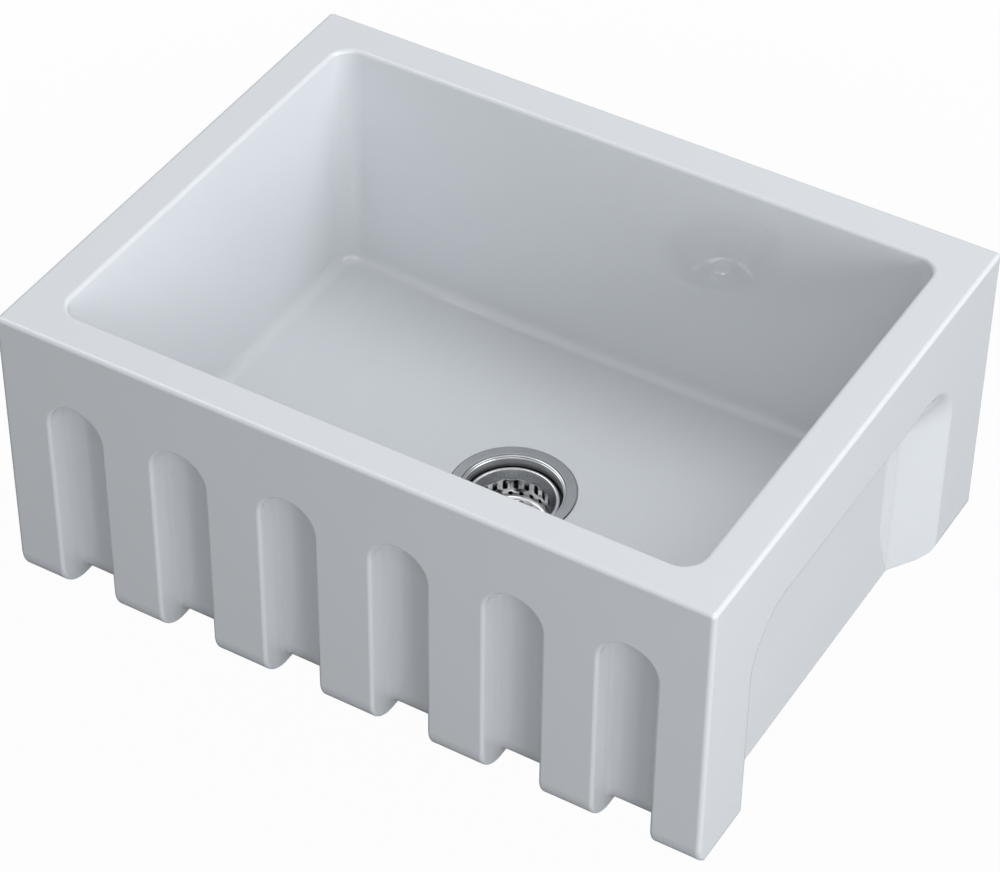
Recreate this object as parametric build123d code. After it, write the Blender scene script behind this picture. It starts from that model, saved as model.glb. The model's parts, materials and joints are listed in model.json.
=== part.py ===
from build123d import *
import math
import os

# Farmhouse apron front sink in glazed fireclay, with its basket strainer and tailpiece.
# Millimetres. X runs to the right, Y to the back wall, Z up. The origin is the middle of the
# sink's plan, in the plane of its base. The strainer hangs through the base plane.

# --- Driving dimensions: the basin -------------------------------------------------------

sink_width = 600.0
sink_depth = 456.0
sink_height = 260.0

rim_front = 32.0
rim_back = 36.0
rim_side = 34.0
rim_outer_radius = 3.5
rim_inner_radius = 3.5
corner_radius = 4.0
base_side_radius = 9.5
base_rear_radius = 8.0

bowl_corner_radius = 18.0
bowl_floor_radius = 10.0
bowl_floor_height = 39.0
bowl_dish_radius = 8500.0

flute_width = 47.0
flute_depth = 22.5
flute_top_margin = 62.0
flute_end_strip = 41.5
flute_end_inset = 2.5
flute_mouth_radius = 3.0
flute_back_radius = 3.5
apron_thickness = 50.0
apron_foot_radius = 24.0
apron_foot_steps = 9

slab_thickness = 65.0
recess_depth = 24.0
recess_run = 37.0
recess_top_margin = 69.0
recess_corner_radius = 50.0
recess_mouth_radius = 7.0
recess_foot_radius = 9.0

drain_y = 16.0
drain_floor_thickness = 25.3
waste_hole_clearance = 3.4
rebate_clearance = 1.0
underside_recess_margin = 30.0

# --- Driving dimensions: the strainer, clamped to the basin -------------------------------

sheet = 1.2
cup_bore_radius = 36.9
cup_depth = 52.7
cup_corner_radius = 7.0
cup_ledge_depth = 15.4
cup_ledge_width = 3.5
lip_step = 1.6
lip_width = 2.0
flange_width = 8.6
flange_thickness = 1.4
flange_rise = 1.2
flange_bevel = 0.6
seal_thickness = 1.5
seal_margin = 0.4

cup_thread_wall = 1.5
cup_thread_depth = 1.0
cup_thread_pitch = 2.12
cup_thread_start = 5.0

gasket_thickness = 3.0
gasket_clearance = 0.6
gasket_overlap = 13.0
friction_ring_thickness = 1.0
friction_ring_clearance = 0.5
friction_ring_step = 2.0
lock_nut_height = 12.0
lock_nut_wall = 6.6
lock_nut_flange_height = 2.5
lock_nut_lugs = 6
lock_nut_lug_reach = 8.0
lock_nut_lug_width = 9.0
lock_nut_lug_radius = 2.0
thread_clearance = 0.06

tail_radius = 19.05
tail_wall = 1.0
tail_length = 100.0
tail_flange_thickness = 1.2
tail_flange_clearance = 0.7
tail_washer_thickness = 1.6

outlet_bore_step = 0.45
outlet_lip = 1.0
outlet_wall = 3.4
outlet_length = 25.5
outlet_flange_width = 9.5
outlet_flange_thickness = 3.5
outlet_thread_depth = 1.0
outlet_thread_pitch = 2.2
stake_clearance = 0.05
socket_clearance = 0.1
socket_wall = 2.6
socket_length = 9.0
socket_gap = 1.8
spoke_count = 4
spoke_width = 3.0
spoke_height = 5.0

coupling_nut_wall = 3.6
coupling_nut_floor = 3.7
coupling_nut_top_gap = 3.5
coupling_nut_corner_cut = 1.2
coupling_nut_bevel = 1.6
coupling_nut_hole_clearance = 1.0

# --- Driving dimensions: the basket and its stopper ---------------------------------------

basket_sheet = 0.8
basket_seat_gap = 0.3
basket_side_clearance = 5.6
basket_corner_radius = 5.0
basket_rim_overlap = 0.9
basket_rim_height = 5.6
basket_rim_width = 2.4
basket_rim_bevel = 0.6
basket_throat_drop = 1.8
basket_flare_drop = 6.4
slot_pitch = 8.9
slot_width = 4.2
slot_top_margin = 1.3
slot_start_share = 0.45
wall_hole_radius = 2.0
wall_hole_share = 0.235
floor_hole_radius = 2.2
floor_hole_pitch = 8.8
floor_hole_margin = 3.8

stopper_travel = 6.0
stopper_seat_gap = 0.3
stopper_thickness = 4.6
stopper_bevel = 1.0
stopper_cup_step = 3.0
stopper_cup_thickness = 0.8
stopper_top_gap = 0.3
stopper_washer_radius = 12.0
stopper_washer_thickness = 1.0

stem_radius = 3.0
stem_shoulder = 1.0
stem_tail = 14.0
stem_point = 0.4
stem_nut_wall = 2.0
stem_nut_height = 3.0
slide_clearance = 0.05
part_clearance = 0.02
clip_lift = 1.5
clip_length = 6.0
clip_wall = 1.3
clip_end_wall = 0.6
clip_taper = 1.8
clip_slot = 1.2

bush_wall = 2.4
bush_drop = 4.3
bush_flange_width = 2.6
bush_flange_thickness = 1.6
bush_bevel = 0.5
bush_ring_width = 4.1
bush_ring_thickness = 1.0
bush_ring_teeth = 6
bush_ring_notch = 1.2
bush_ring_notch_depth = 1.9
o_ring_section = 1.1
o_ring_height = 1.9
groove_clearance = 0.1

knob_radius = 8.0
knob_height = 7.9
knob_gap = 0.4
knob_wall = 2.0
knob_waist_height = 2.8
knob_shoulder_height = 4.3
knob_edge_height = 1.6
knob_edge_bevel = 1.2
knob_grip = 4.7

# --- What only shapes the cutting ---------------------------------------------------------

overshoot = 1.0
near = 0.01

# --- Radii that follow from them ----------------------------------------------------------

cup_ledge_radius = cup_bore_radius + cup_ledge_width
flange_inner_radius = cup_ledge_radius + lip_width
flange_radius = flange_inner_radius + flange_width
waste_hole_radius = cup_ledge_radius + sheet + waste_hole_clearance
underside_recess_radius = waste_hole_radius + underside_recess_margin
cup_thread_root = cup_bore_radius + cup_thread_wall
cup_thread_crest = cup_thread_root + cup_thread_depth
gasket_outer_radius = waste_hole_radius + gasket_overlap
friction_ring_radius = gasket_outer_radius - friction_ring_step

outlet_bore_radius = tail_radius + outlet_bore_step
outlet_hole_radius = outlet_bore_radius + outlet_lip
outlet_flange_radius = outlet_hole_radius + outlet_flange_width
outlet_thread_root = outlet_bore_radius + outlet_wall
outlet_thread_crest = outlet_thread_root + outlet_thread_depth
tail_flange_radius = outlet_thread_crest - tail_flange_clearance

stem_neck_radius = stem_radius - stem_shoulder
clip_radius = stem_neck_radius + clip_wall
socket_bore_radius = clip_radius + socket_clearance
socket_outer_radius = socket_bore_radius + socket_wall
cup_flat_radius = cup_bore_radius - cup_corner_radius
stopper_radius = (outlet_hole_radius + cup_flat_radius) / 2
stopper_cup_radius = stopper_radius - stopper_cup_step
bush_radius = stem_radius + bush_wall
bush_ring_radius = bush_radius + bush_ring_width
basket_wall_radius = cup_bore_radius - basket_side_clearance
basket_rim_radius = cup_bore_radius + basket_rim_overlap

# --- Heights and places that follow from them ---------------------------------------------

front_y = -sink_depth / 2
back_y = sink_depth / 2
side_x = sink_width / 2
apron_inner_y = front_y + apron_thickness
flute_floor_y = front_y + flute_depth
flute_spring_height = sink_height - flute_top_margin - flute_width / 2
flute_pitch = (side_x - flute_end_strip - flute_width / 2 + flute_end_inset) / 2.5
flute_centres = (0.5 * flute_pitch, 1.5 * flute_pitch, 2.5 * flute_pitch - flute_end_inset)
recess_top = sink_height - recess_top_margin

flange_top = bowl_floor_height + flange_rise
flange_under = flange_top - flange_thickness
rebate_floor = flange_under - seal_thickness
underside_recess_top = rebate_floor - drain_floor_thickness
cup_ledge = flange_top - cup_ledge_depth
cup_floor = flange_top - cup_depth
cup_underside = cup_floor - sheet
cup_thread_bottom = cup_floor + cup_thread_start
cup_thread_turns = int((cup_ledge - sheet - cup_thread_bottom) / cup_thread_pitch)

gasket_bottom = underside_recess_top - gasket_thickness
friction_ring_bottom = gasket_bottom - friction_ring_thickness
lock_nut_bottom = friction_ring_bottom - lock_nut_height

stopper_bottom = cup_floor + stopper_seat_gap + stopper_travel
stopper_top = stopper_bottom + stopper_thickness
stopper_cup_top = stopper_top + stopper_cup_thickness
stopper_washer_bottom = stopper_bottom - stopper_washer_thickness
stem_nut_bottom = stopper_washer_bottom - stem_nut_height
stem_bottom = stem_nut_bottom - stem_tail
clip_bottom = stem_bottom + clip_lift

outlet_flange_bottom = cup_underside - outlet_flange_thickness
outlet_end = cup_floor - outlet_length
outlet_thread_turns = int((outlet_flange_bottom - outlet_end) / outlet_thread_pitch)
socket_top = stem_nut_bottom - stopper_travel - socket_gap
socket_bottom = socket_top - socket_length
tail_flange_top = outlet_end - tail_washer_thickness
tail_flange_bottom = tail_flange_top - tail_flange_thickness
tail_end = tail_flange_top - tail_length
coupling_nut_top = outlet_flange_bottom - coupling_nut_top_gap
coupling_nut_bottom = tail_flange_bottom - coupling_nut_floor

bush_bottom = stopper_cup_top + stopper_top_gap
basket_floor_bottom = bush_bottom + bush_drop
basket_floor_top = basket_floor_bottom + basket_sheet
basket_rim_bottom = cup_ledge + basket_seat_gap
basket_rim_top = basket_rim_bottom + basket_rim_height
basket_flare_bottom = basket_rim_top - basket_flare_drop
bush_top = basket_floor_top + bush_flange_thickness
knob_bottom = bush_top + stopper_travel + knob_gap
knob_top = knob_bottom + knob_height
stem_top = knob_bottom + knob_grip


# --- Small helpers ------------------------------------------------------------------------

def on_drain(shape):
    """Moves a shape built about the Z axis to the drain."""
    return Pos(0, drain_y, 0) * shape


def turned(points):
    """Turns a closed outline of (radius, height) points about the drain's axis."""
    outline = Polyline(*[(radius, 0, height) for radius, height in points], close=True)
    return on_drain(revolve(make_face(outline), Axis.Z))


def ring(inner_radius, outer_radius, bottom, top):
    """A flat ring on the drain's axis."""
    return turned([(inner_radius, bottom), (outer_radius, bottom), (outer_radius, top), (inner_radius, top)])


def disc(radius, bottom, top):
    """A plain disc on the drain's axis, to add or to cut with."""
    return ring(0, radius, bottom, top)


def around(count, first_angle=0.0):
    """Turns about the drain's axis, evenly spaced."""
    return [Rot(0, 0, first_angle + 360.0 * index / count) for index in range(count)]


def thread_points(root, crest, top, pitch, turns):
    """Points of a row of thread ridges, downwards from top."""
    points = []
    for index in range(turns):
        start = top - index * pitch
        points.append((root, start))
        points.append((crest, start - 0.4 * pitch))
        points.append((crest, start - 0.6 * pitch))
    points.append((root, top - turns * pitch))
    return points


def hexagon(wall, bore, bottom, top):
    """A hexagon prism on the drain's axis, with the given wall from its bore to its flats."""
    outline = RegularPolygon(bore + wall, 6, major_radius=False)
    return on_drain(Pos(0, 0, bottom) * extrude(outline, top - bottom))


# --- The basin ----------------------------------------------------------------------------

def is_flute_side(x):
    """True where x is the side wall of a flute."""
    offsets = [abs(abs(abs(x) - centre) - flute_width / 2) for centre in flute_centres]
    return min(offsets) < near


def apron_plan(shift):
    """Plan of the front slab with its flutes, its front moved back by shift."""
    half = flute_width / 2
    mouth_y = front_y + shift
    floor_y = flute_floor_y + shift
    centres = sorted([-centre for centre in flute_centres] + list(flute_centres))
    points = [(-side_x, apron_inner_y), (-side_x, mouth_y)]
    for centre in centres:
        points.append((centre - half, mouth_y))
        points.append((centre - half, floor_y))
        points.append((centre + half, floor_y))
        points.append((centre + half, mouth_y))
    points.append((side_x, mouth_y))
    points.append((side_x, apron_inner_y))
    plan = make_face(Polyline(*points, close=True))
    front_points = plan.vertices().filter_by(lambda v: abs(v.Y - mouth_y) < near)
    plan = fillet(front_points.filter_by(lambda v: abs(v.X) > side_x - near), corner_radius)
    front_points = plan.vertices().filter_by(lambda v: abs(v.Y - mouth_y) < near)
    plan = fillet(front_points.filter_by(lambda v: is_flute_side(v.X)), flute_mouth_radius)
    floor_points = plan.vertices().filter_by(lambda v: abs(v.Y - floor_y) < near)
    return fillet(floor_points, flute_back_radius)


def apron_foot():
    """The lowest stretch of the front slab, where strips and flutes curve back to the base."""
    sections = []
    for step in range(apron_foot_steps + 1):
        angle = math.pi / 2 * step / apron_foot_steps
        height = apron_foot_radius * (1 - math.sin(angle))
        shift = apron_foot_radius * (1 - math.cos(angle))
        sections.append(Pos(0, 0, height) * apron_plan(shift))
    return loft(sections)


def apron_arches():
    """The top stretch of the front slab, which closes each flute with a round arch."""
    height = sink_height - flute_spring_height
    middle = (flute_spring_height + sink_height) / 2
    slab = Pos(0, front_y + apron_thickness / 2, middle) * Box(sink_width, apron_thickness, height)
    for centre in flute_centres:
        for x in (-centre, centre):
            arch = Pos(x, front_y, flute_spring_height) * Rot(90, 0, 0)
            slab -= arch * Cylinder(flute_width / 2, 2 * flute_depth)
    arcs = slab.edges().filter_by(GeomType.CIRCLE)
    slab = fillet(arcs.filter_by(lambda e: abs(e.center().Y - front_y) < near), flute_mouth_radius)
    arcs = slab.edges().filter_by(GeomType.CIRCLE).filter_by(lambda e: e.radius > flute_width / 2 - near)
    slab = fillet(arcs.filter_by(lambda e: abs(e.center().Y - flute_floor_y) < near), flute_back_radius)
    uprights = slab.edges().filter_by(Axis.Z).filter_by(lambda e: abs(e.center().Y - front_y) < near)
    return fillet(uprights.filter_by(lambda e: abs(e.center().X) > side_x - near), corner_radius)


def front_slab():
    """The fluted apron."""
    plan = Pos(0, 0, apron_foot_radius) * apron_plan(0.0)
    straight = extrude(plan, flute_spring_height - apron_foot_radius)
    return apron_foot() + straight + apron_arches()


def rear_block():
    """Everything behind the front slab, before it is hollowed."""
    depth = back_y - apron_inner_y
    block = Pos(0, apron_inner_y + depth / 2, sink_height / 2) * Box(sink_width, depth, sink_height)
    uprights = block.edges().filter_by(Axis.Z).filter_by(lambda e: e.center().Y > back_y - near)
    return fillet(uprights, corner_radius)


def side_recess_outline(grow):
    """Outline of a side recess in the YZ plane, grown by grow from its foot's outline."""
    half = back_y - slab_thickness - recess_run + grow
    top = recess_top - recess_run + grow
    radius = recess_corner_radius - recess_run + grow
    bottom = -sink_height / 2
    outline = make_face(Polyline((-half, bottom), (half, bottom), (half, top), (-half, top), close=True))
    corners = outline.vertices().filter_by(lambda v: v.Y > top - near)
    return fillet(corners, radius)


def side_recess():
    """What is taken off the right side, between the slabs: a ramp all round a flat foot."""
    faces = []
    for depth in (recess_depth, -recess_depth / 2):
        grow = recess_run * (recess_depth - depth) / recess_depth
        plane = Plane(origin=(side_x - depth, 0, 0), x_dir=(0, 1, 0), z_dir=(1, 0, 0))
        faces.append(plane * side_recess_outline(grow))
    return loft(faces, ruled=True)


def is_recess_edge(edge, depth):
    """True for the edges of the side recesses that lie depth behind a side face."""
    middle = edge.center()
    in_plane = abs(abs(middle.X) - side_x + depth) < near and edge.bounding_box().size.X < near
    between_slabs = abs(middle.Y) < back_y - slab_thickness + near
    return in_plane and between_slabs and overshoot < middle.Z < recess_top + near


def foot_cutter(radius, length):
    """Rounds a bottom edge that lies along Y at x = 0, with the body on its left."""
    middle = radius * (1 - math.sqrt(0.5))
    curve = ThreePointArc((-radius, 0), (-middle, middle), (0, radius))
    outside = Polyline((0, radius), (radius, radius), (radius, -radius), (-radius, -radius), (-radius, 0))
    plane = Plane(origin=(0, length / 2, 0), x_dir=(1, 0, 0), z_dir=(0, -1, 0))
    return extrude(plane * make_face(curve + outside), length)


def bowl():
    """The hollow of the basin: upright walls, round corners and a dished floor."""
    width = sink_width - 2 * rim_side
    depth = sink_depth - rim_front - rim_back
    middle_y = (rim_front - rim_back) / 2
    plan = Pos(0, middle_y, 0) * RectangleRounded(width, depth, bowl_corner_radius)
    walls = extrude(plan, 2 * sink_height)
    dish = Pos(0, drain_y, bowl_floor_height + bowl_dish_radius) * Sphere(bowl_dish_radius)
    hollow = walls & dish
    floor_edges = hollow.edges().filter_by(lambda e: e.center().Z < sink_height / 2)
    return fillet(floor_edges, bowl_floor_radius)


def is_bowl_mouth(edge):
    """True for the edges of the bowl's mouth in the rim."""
    middle = edge.center()
    in_rim = middle.Z > sink_height - near and abs(middle.X) < side_x - rim_side + overshoot
    return in_rim and front_y + rim_front - overshoot < middle.Y < back_y - rim_back + overshoot


def basin():
    """The fireclay basin, one fired piece."""
    body = front_slab() + rear_block()
    recess = side_recess()
    body -= recess
    body -= mirror(recess, about=Plane.YZ)
    body = fillet(body.edges().filter_by(lambda e: is_recess_edge(e, 0)), recess_mouth_radius)
    body = fillet(body.edges().filter_by(lambda e: is_recess_edge(e, recess_depth)), recess_foot_radius)
    side_cutter = Pos(side_x, 0, 0) * foot_cutter(base_side_radius, sink_depth + overshoot)
    body -= side_cutter
    body -= mirror(side_cutter, about=Plane.YZ)
    body -= Pos(0, back_y, 0) * Rot(0, 0, 90) * foot_cutter(base_rear_radius, sink_width + overshoot)
    rim_edges = body.edges().filter_by(lambda e: e.center().Z > sink_height - near)
    body = fillet(rim_edges, rim_outer_radius)
    body -= bowl()
    body = fillet(body.edges().filter_by(is_bowl_mouth), rim_inner_radius)
    body -= disc(flange_radius + rebate_clearance, rebate_floor, sink_height)
    body -= disc(waste_hole_radius, -overshoot, sink_height)
    return body - disc(underside_recess_radius, -overshoot, underside_recess_top)


# --- The strainer -------------------------------------------------------------------------

def strainer_body():
    """Pressed flange and cup, with a thread rolled on the cup's lower wall."""
    lip_radius = cup_ledge_radius + lip_step
    lip_foot = flange_top - 2 * lip_step
    corner_cut = 0.3 * cup_corner_radius
    outer_radius = cup_ledge_radius + sheet
    inside = [
        (outlet_hole_radius, cup_floor),
        (cup_flat_radius, cup_floor),
        (cup_bore_radius - corner_cut, cup_floor + corner_cut),
        (cup_bore_radius, cup_floor + cup_corner_radius),
        (cup_bore_radius, cup_ledge),
        (cup_ledge_radius, cup_ledge),
        (cup_ledge_radius, lip_foot),
        (cup_ledge_radius + lip_step / 2, lip_foot),
        (lip_radius, lip_foot + lip_step),
    ]
    flange = [
        (flange_inner_radius, flange_top),
        (flange_radius - flange_bevel, flange_top),
        (flange_radius, flange_top - flange_bevel),
        (flange_radius, flange_under),
    ]
    outside = [
        (lip_radius + sheet, flange_under),
        (outer_radius, lip_foot - sheet),
        (outer_radius, cup_ledge - sheet),
        (cup_thread_root, cup_ledge - sheet),
    ]
    thread_top = cup_thread_bottom + cup_thread_turns * cup_thread_pitch
    thread = thread_points(cup_thread_root, cup_thread_crest, thread_top, cup_thread_pitch, cup_thread_turns)
    below = [
        (cup_thread_root - sheet, cup_underside + cup_corner_radius / 2),
        (cup_flat_radius, cup_underside),
        (outlet_hole_radius, cup_underside),
    ]
    return turned(inside + flange + outside + thread + below)


def flange_seal():
    """Soft ring that beds the flange in the basin's rebate."""
    return ring(waste_hole_radius + seal_margin, flange_radius - seal_margin, rebate_floor, flange_under)


def outlet_spud():
    """Cast outlet: staked into the cup, threaded outside, with spokes and a centre socket."""
    lip_radius = outlet_hole_radius - stake_clearance
    thread_top = outlet_end + outlet_thread_turns * outlet_thread_pitch
    points = [
        (outlet_bore_radius, cup_floor),
        (lip_radius, cup_floor),
        (lip_radius, cup_underside),
        (outlet_flange_radius, cup_underside),
        (outlet_flange_radius, outlet_flange_bottom),
        (outlet_thread_root, outlet_flange_bottom),
    ]
    points += thread_points(
        outlet_thread_root, outlet_thread_crest, thread_top, outlet_thread_pitch, outlet_thread_turns
    )
    points.append((outlet_bore_radius, outlet_end))
    spud = turned(points)
    spoke_length = outlet_bore_radius + outlet_wall / 2 - socket_bore_radius
    spoke_x = socket_bore_radius + spoke_length / 2
    spoke_z = (socket_top + socket_bottom) / 2
    for turn in around(spoke_count, 45.0):
        spud += on_drain(turn * Pos(spoke_x, 0, spoke_z) * Box(spoke_length, spoke_width, spoke_height))
    spud += disc(socket_outer_radius, socket_bottom, socket_top)
    return spud - disc(socket_bore_radius, socket_bottom - overshoot, socket_top + overshoot)


def clamp_gasket():
    """Rubber ring between the basin's underside and the friction ring."""
    inner_radius = cup_thread_crest + gasket_clearance
    return ring(inner_radius, gasket_outer_radius, gasket_bottom, underside_recess_top)


def friction_ring():
    """Fibre ring that lets the nut turn without dragging the rubber."""
    inner_radius = cup_thread_crest + friction_ring_clearance
    return ring(inner_radius, friction_ring_radius, friction_ring_bottom, gasket_bottom)


def lock_nut():
    """Large nut with lugs, on the cup's thread."""
    bore = cup_thread_crest + thread_clearance
    ring_radius = cup_thread_crest + lock_nut_wall
    lug_length = lock_nut_wall + lock_nut_lug_reach
    lug_x = cup_thread_crest + lug_length / 2
    lug_z = (lock_nut_bottom + friction_ring_bottom) / 2
    nut = disc(friction_ring_radius, friction_ring_bottom - lock_nut_flange_height, friction_ring_bottom)
    nut += disc(ring_radius, lock_nut_bottom, friction_ring_bottom)
    lug = Box(lug_length, lock_nut_lug_width, lock_nut_height)
    lug = fillet(lug.edges().filter_by(Axis.Z).sort_by(Axis.X)[2:], lock_nut_lug_radius)
    for turn in around(lock_nut_lugs):
        nut += on_drain(turn * Pos(lug_x, 0, lug_z) * lug)
    return nut - disc(bore, lock_nut_bottom - overshoot, friction_ring_bottom + overshoot)


def tailpiece_washer():
    """Flat ring between the outlet and the tailpiece's flange."""
    return ring(tail_radius, tail_flange_radius, tail_flange_top, outlet_end)


def tailpiece():
    """Flanged tube that runs down to the trap."""
    bore = tail_radius - tail_wall
    return turned([
        (bore, tail_flange_top),
        (tail_flange_radius, tail_flange_top),
        (tail_flange_radius, tail_flange_bottom),
        (tail_radius, tail_flange_bottom),
        (tail_radius, tail_end),
        (bore, tail_end),
    ])


def coupling_nut():
    """Hexagon nut that draws the tailpiece's flange up to the outlet."""
    bore = outlet_thread_crest + thread_clearance
    hole = tail_radius + coupling_nut_hole_clearance
    corner = (outlet_thread_crest + coupling_nut_wall) / math.cos(math.pi / 6) - coupling_nut_corner_cut
    blank = turned([
        (0, coupling_nut_bottom),
        (corner - coupling_nut_bevel, coupling_nut_bottom),
        (corner, coupling_nut_bottom + coupling_nut_bevel),
        (corner, coupling_nut_top - coupling_nut_bevel),
        (corner - coupling_nut_bevel, coupling_nut_top),
        (0, coupling_nut_top),
    ])
    nut = hexagon(coupling_nut_wall, outlet_thread_crest, coupling_nut_bottom, coupling_nut_top) & blank
    nut -= disc(bore, tail_flange_bottom, coupling_nut_top + overshoot)
    return nut - disc(hole, coupling_nut_bottom - overshoot, tail_flange_bottom + overshoot)


# --- The basket and its stopper -----------------------------------------------------------

def basket_shell():
    """The pressed sheet of the basket, with its rolled rim, before it is pierced."""
    inner_radius = basket_wall_radius - basket_sheet
    crown_radius = basket_rim_radius - basket_rim_width
    hem_radius = basket_rim_radius - basket_sheet
    floor_radius = basket_wall_radius - basket_corner_radius
    corner_cut = 0.3 * basket_corner_radius
    inner_cut = corner_cut - basket_sheet / 2
    outside = [
        (0, basket_floor_bottom),
        (floor_radius, basket_floor_bottom),
        (basket_wall_radius - corner_cut, basket_floor_bottom + corner_cut),
        (basket_wall_radius, basket_floor_bottom + basket_corner_radius),
        (basket_wall_radius, basket_flare_bottom),
        (crown_radius, basket_rim_top - basket_throat_drop),
        (crown_radius + basket_sheet / 2, basket_rim_top - basket_sheet),
        (hem_radius, basket_rim_top - basket_sheet),
        (hem_radius, basket_rim_bottom),
    ]
    inside = [
        (basket_rim_radius, basket_rim_bottom),
        (basket_rim_radius, basket_rim_top - basket_rim_bevel),
        (basket_rim_radius - basket_rim_bevel, basket_rim_top),
        (crown_radius, basket_rim_top),
        (crown_radius - basket_sheet, basket_rim_top - basket_rim_bevel),
        (inner_radius, basket_flare_bottom + basket_sheet / 2),
        (inner_radius, basket_floor_bottom + basket_corner_radius),
        (inner_radius - inner_cut, basket_floor_top + inner_cut),
        (floor_radius, basket_floor_top),
        (0, basket_floor_top),
    ]
    return turned(outside + inside)


def basket():
    """Perforated basket: slots and round holes in the wall, two rings of holes in the floor."""
    wall_height = basket_flare_bottom - basket_floor_bottom
    slot_bottom = basket_floor_bottom + slot_start_share * wall_height
    slot_top = basket_flare_bottom - slot_top_margin
    slot_count = round(2 * math.pi * basket_wall_radius / slot_pitch)
    reach = 2 * basket_corner_radius
    slot = Rot(0, 90, 0) * extrude(SlotOverall(slot_top - slot_bottom, slot_width), reach)
    slot = Pos(basket_wall_radius - reach / 2, 0, (slot_top + slot_bottom) / 2) * slot
    hole_height = basket_floor_bottom + wall_hole_share * wall_height
    hole = Rot(0, 90, 0) * Cylinder(wall_hole_radius, reach)
    hole = Pos(basket_wall_radius, 0, hole_height) * hole
    body = basket_shell()
    body -= [on_drain(turn * slot) for turn in around(slot_count)]
    body -= [on_drain(turn * hole) for turn in around(slot_count, 180.0 / slot_count)]
    outer_ring = basket_wall_radius - basket_corner_radius - floor_hole_margin
    inner_ring = (outer_ring + bush_ring_radius) / 2
    for ring_radius in (outer_ring, inner_ring):
        count = int(2 * math.pi * ring_radius / floor_hole_pitch)
        hole = Pos(ring_radius, 0, basket_floor_bottom) * Cylinder(floor_hole_radius, 3 * basket_sheet)
        body -= [on_drain(turn * hole) for turn in around(count)]
    return body - disc(bush_radius + part_clearance, basket_floor_bottom - overshoot, bush_top)


def basket_bush():
    """Bush in the basket's floor, with a groove for the ring that grips the stem."""
    bore = stem_radius + slide_clearance
    flange_edge = bush_radius + bush_flange_width
    groove_half = o_ring_section / 2 + groove_clearance
    groove_middle = bush_bottom + o_ring_height
    groove_radius = stem_radius + o_ring_section + 2 * groove_clearance
    return turned([
        (bore, bush_bottom),
        (bush_radius, bush_bottom),
        (bush_radius, basket_floor_top),
        (flange_edge, basket_floor_top),
        (flange_edge, bush_top - bush_bevel),
        (flange_edge - bush_bevel, bush_top),
        (bore, bush_top),
        (bore, groove_middle + groove_half),
        (groove_radius, groove_middle + groove_half),
        (groove_radius, groove_middle - groove_half),
        (bore, groove_middle - groove_half),
    ])


def bush_ring():
    """Push-on ring with grip teeth that holds the bush from below."""
    bore = bush_radius + part_clearance
    bottom = basket_floor_bottom - bush_ring_thickness
    body = ring(bore, bush_ring_radius, bottom, basket_floor_bottom)
    notch = Box(2 * bush_ring_notch_depth, bush_ring_notch, 3 * bush_ring_thickness)
    notch = Pos(bore, 0, bottom) * notch
    return body - [on_drain(turn * notch) for turn in around(bush_ring_teeth)]


def stem_o_ring():
    """Ring in the bush's groove, round the stem."""
    radius = o_ring_section / 2
    torus = Torus(stem_radius + slide_clearance / 2 + radius, radius)
    return on_drain(Pos(0, 0, bush_bottom + o_ring_height) * torus)


def stem():
    """Post with a shoulder above the stopper and a thin threaded neck below it."""
    return turned([
        (0, stem_bottom),
        (stem_neck_radius - stem_point, stem_bottom),
        (stem_neck_radius, stem_bottom + stem_point),
        (stem_neck_radius, stopper_cup_top),
        (stem_radius, stopper_cup_top),
        (stem_radius, stem_top),
        (0, stem_top),
    ])


def knob():
    """Finger knob, waisted under its head."""
    bore = stem_radius + part_clearance
    neck = bore + knob_wall
    return turned([
        (0, stem_top),
        (bore, stem_top),
        (bore, knob_bottom),
        (neck, knob_bottom),
        (neck, knob_bottom + knob_waist_height),
        (knob_radius, knob_bottom + knob_shoulder_height),
        (knob_radius, knob_top - knob_edge_height),
        (knob_radius - knob_edge_bevel, knob_top),
        (0, knob_top),
    ])


def stopper_cup():
    """Pressed disc that backs the stopper."""
    return ring(stem_neck_radius + part_clearance, stopper_cup_radius, stopper_top, stopper_cup_top)


def stopper():
    """Rubber disc, with a bevelled edge that seats round the outlet."""
    bore = stem_neck_radius + part_clearance
    return turned([
        (bore, stopper_bottom),
        (stopper_radius - stopper_bevel, stopper_bottom),
        (stopper_radius, stopper_bottom + stopper_bevel),
        (stopper_radius, stopper_top - stopper_bevel),
        (stopper_radius - stopper_bevel, stopper_top),
        (bore, stopper_top),
    ])


def stopper_washer():
    """Disc below the stopper."""
    bore = stem_neck_radius + part_clearance
    return ring(bore, stopper_washer_radius, stopper_washer_bottom, stopper_bottom)


def stem_nut():
    """Nut that clamps the stopper to the stem's shoulder."""
    bore = stem_neck_radius + part_clearance
    nut = hexagon(stem_nut_wall, stem_neck_radius, stem_nut_bottom, stopper_washer_bottom)
    return nut - disc(bore, stem_nut_bottom - overshoot, stopper_washer_bottom + overshoot)


def stem_clip():
    """Split spring sleeve at the stem's end, barrel shaped, which centres in the socket."""
    bore = stem_neck_radius + part_clearance
    end_radius = stem_neck_radius + clip_end_wall
    top = clip_bottom + clip_length
    sleeve = turned([
        (bore, clip_bottom),
        (end_radius, clip_bottom),
        (clip_radius, clip_bottom + clip_taper),
        (clip_radius, top - clip_taper),
        (end_radius, top),
        (bore, top),
    ])
    slot = Box(2 * clip_radius, clip_slot, 2 * clip_length)
    return sleeve - on_drain(Pos(clip_radius, 0, clip_bottom + clip_length / 2) * slot)


# --- Write one file per piece -------------------------------------------------------------

pieces = [
    basin, flange_seal, strainer_body, outlet_spud, clamp_gasket, friction_ring, lock_nut,
    tailpiece_washer, tailpiece, coupling_nut, basket, basket_bush, bush_ring, stem_o_ring,
    stem, knob, stopper_cup, stopper, stopper_washer, stem_nut, stem_clip,
]

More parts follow.
